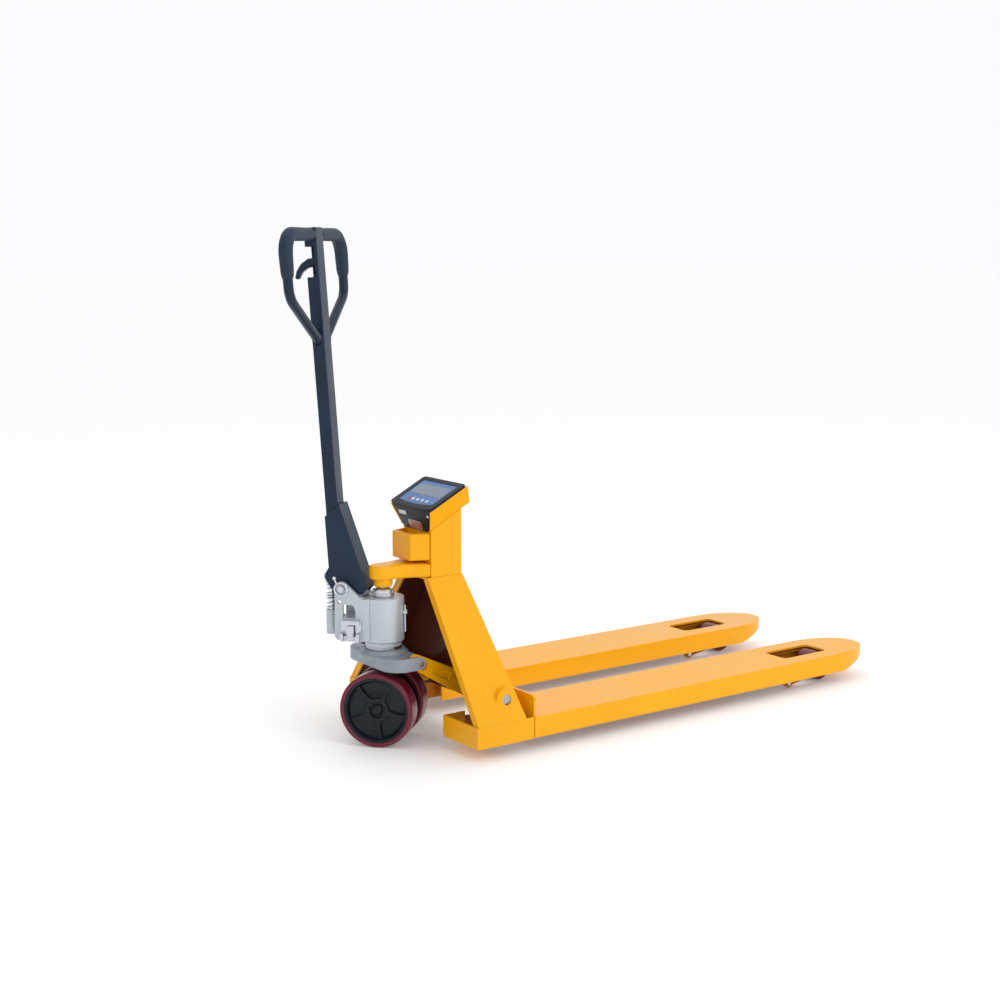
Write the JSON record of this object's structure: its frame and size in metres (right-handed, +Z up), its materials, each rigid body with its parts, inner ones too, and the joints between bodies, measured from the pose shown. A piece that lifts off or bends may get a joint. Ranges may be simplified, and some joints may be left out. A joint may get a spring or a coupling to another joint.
{
  "type": "pallet scale",
  "caption": "Hand pallet truck with weighing forks, a hydraulic pump, steering wheels, a pull handle and a tilted weight indicator.",
  "frame": {"origin": "on the floor under the middle of the overall box", "axes": "+X along the forks towards their tips, +Y to the left of the truck, +Z up"},
  "size_m": [1.6914, 0.5751, 1.2219],
  "materials": {
    "yellow_paint": "glossy powder coat",
    "dark_coat": "satin blue-grey coat",
    "black_plastic": "fine-grained moulding",
    "grip_rubber": "soft matte sleeve",
    "burgundy_tread": "smooth cast polyurethane",
    "zinc_steel": "zinc-plated",
    "silver_casting": "silver enamel on a casting",
    "grey_casting": "grey enamel on a casting",
    "bright_steel": "plain ground steel",
    "chrome_steel": "polished",
    "keypad_film": "satin printed film",
    "display_window": "smooth clear window over a grey display",
    "cell_aluminium": "machined"
  },
  "bodies": {
    "chassis": {"frame": "yellow_paint", "horn": "yellow_paint", "ram": "chrome_steel", "column": "yellow_paint", "cradle": "yellow_paint", "indicator_housing": "black_plastic", "indicator_bezel": "black_plastic", "keypad": "keypad_film", "display": "display_window", "printer_box": "yellow_paint", "battery": "black_plastic", "weigh_shell_right": "yellow_paint", "lower_fork_right": "yellow_paint", "load_cell_right_1": "cell_aluminium", "load_cell_right_2": "cell_aluminium", "foot_right": "yellow_paint", "weigh_shell_left": "yellow_paint", "lower_fork_left": "yellow_paint", "load_cell_left_1": "cell_aluminium", "load_cell_left_2": "cell_aluminium", "foot_left": "yellow_paint"},
    "rocker": {"base_shaft": "bright_steel", "lift_arm_right": "yellow_paint", "lift_arm_left": "yellow_paint"},
    "rod_right": {"push_rod_right": "bright_steel"},
    "roller_fork_right": {"roller_fork_right": "yellow_paint", "roller_fork_pin_right": "bright_steel", "roller_axle_right": "bright_steel"},
    "load_roller_right": {"load_roller_right": "burgundy_tread"},
    "wheel_right": {"wheel_tread_right": "burgundy_tread", "wheel_centre_right": "black_plastic"},
    "rod_left": {"push_rod_left": "bright_steel"},
    "roller_fork_left": {"roller_fork_left": "yellow_paint", "roller_fork_pin_left": "bright_steel", "roller_axle_left": "bright_steel"},
    "load_roller_left": {"load_roller_left": "burgundy_tread"},
    "wheel_left": {"wheel_tread_left": "burgundy_tread", "wheel_centre_left": "black_plastic"},
    "crosshead": {"crosshead": "grey_casting", "link_pin_right": "bright_steel", "link_pin_left": "bright_steel", "thrust_bearing": "bright_steel"},
    "steer": {"pump": "silver_casting", "gland_nut": "zinc_steel", "oil_plug": "zinc_steel", "axle_carrier": "grey_casting", "steer_axle": "bright_steel", "handle_pin": "zinc_steel", "ring_clip": "chrome_steel", "valve_bracket": "zinc_steel"},
    "valve": {"valve_lever": "zinc_steel"},
    "plunger": {"plunger": "chrome_steel", "plunger_spring": "zinc_steel"},
    "handle": {"yoke": "dark_coat", "press_roller": "bright_steel", "shaft": "dark_coat", "loop_tube": "dark_coat", "grip_right": "grip_rubber", "grip_left": "grip_rubber"},
    "trigger": {"release_lever": "dark_coat"}
  },
  "joints": [
    {"name": "lift", "type": "slide", "parent": "chassis", "child": "crosshead", "axis": [0, 0, -1], "range_m": [0, 0.115]},
    {"name": "rocker_pivot", "type": "hinge", "parent": "chassis", "child": "rocker", "pos_m": [-0.4053, 0, 0.128], "axis": [0, -1, 0], "range_deg": [0, 41.9]},
    {"name": "roller_fork_pivot_right", "type": "hinge", "parent": "chassis", "child": "roller_fork_right", "pos_m": [0.5407, -0.1975, 0.015], "axis": [0, 1, 0], "range_deg": [0, 49.9]},
    {"name": "push_rod_pivot_right", "type": "hinge", "parent": "rocker", "child": "rod_right", "pos_m": [-0.42461, -0.1975, 0.07757], "axis": [0, 1, 0], "range_deg": [0, 41.9]},
    {"name": "load_roller_spin_right", "type": "hinge", "parent": "roller_fork_right", "child": "load_roller_right", "pos_m": [0.6807, -0.1975, 0.038], "axis": [0, 1, 0], "continuous": true},
    {"name": "roller_fork_pivot_left", "type": "hinge", "parent": "chassis", "child": "roller_fork_left", "pos_m": [0.5407, 0.1975, 0.015], "axis": [0, 1, 0], "range_deg": [0, 49.9]},
    {"name": "push_rod_pivot_left", "type": "hinge", "parent": "rocker", "child": "rod_left", "pos_m": [-0.42461, 0.1975, 0.07757], "axis": [0, 1, 0], "range_deg": [0, 41.9]},
    {"name": "load_roller_spin_left", "type": "hinge", "parent": "roller_fork_left", "child": "load_roller_left", "pos_m": [0.6807, 0.1975, 0.038], "axis": [0, 1, 0], "continuous": true},
    {"name": "steer_swivel", "type": "hinge", "parent": "crosshead", "child": "steer", "pos_m": [-0.5823, 0, 0], "axis": [0, 0, 1], "range_deg": [-41, 139]},
    {"name": "wheel_spin_right", "type": "hinge", "parent": "steer", "child": "wheel_right", "pos_m": [-0.61702, -0.03018, 0.09], "axis": [0.7547, 0.6561, 0], "continuous": true},
    {"name": "wheel_spin_left", "type": "hinge", "parent": "steer", "child": "wheel_left", "pos_m": [-0.54758, 0.03018, 0.09], "axis": [0.7547, 0.6561, 0], "continuous": true},
    {"name": "handle_tilt", "type": "hinge", "parent": "steer", "child": "handle", "pos_m": [-0.64069, 0.06717, 0.376], "axis": [-0.7547, -0.6561, 0], "range_deg": [0, 60], "stiffness_Nm_per_rad": 25, "springref_deg": -45.84},
    {"name": "plunger_stroke", "type": "slide", "parent": "steer", "child": "plunger", "axis": [0, 0, -1], "range_m": [0, 0.047], "deforming": ["plunger_spring"]},
    {"name": "release_lever_pivot", "type": "hinge", "parent": "handle", "child": "trigger", "pos_m": [-0.68333, 0.11623, 1.14338], "axis": [0.7547, 0.6561, 0], "range_deg": [-10, 20], "stiffness_Nm_per_rad": 1},
    {"name": "valve_lever_pivot", "type": "hinge", "parent": "steer", "child": "valve", "pos_m": [-0.66872, 0.011, 0.262], "axis": [0.6561, -0.7547, 0], "range_deg": [-5, 10]}
  ],
  "couplings": [
    {"joint": "rocker_pivot", "follows": "lift", "rad_per_m": 6.349},
    {"joint": "push_rod_pivot_right", "follows": "lift", "rad_per_m": 6.349},
    {"joint": "roller_fork_pivot_right", "follows": "lift", "rad_per_m": 7.551},
    {"joint": "push_rod_pivot_left", "follows": "lift", "rad_per_m": 6.349},
    {"joint": "roller_fork_pivot_left", "follows": "lift", "rad_per_m": 7.551},
    {"joint": "plunger_stroke", "follows": "handle_tilt", "m_per_rad": 0.04488},
    {"joint": "valve_lever_pivot", "follows": "release_lever_pivot", "ratio": 0.5}
  ]
}
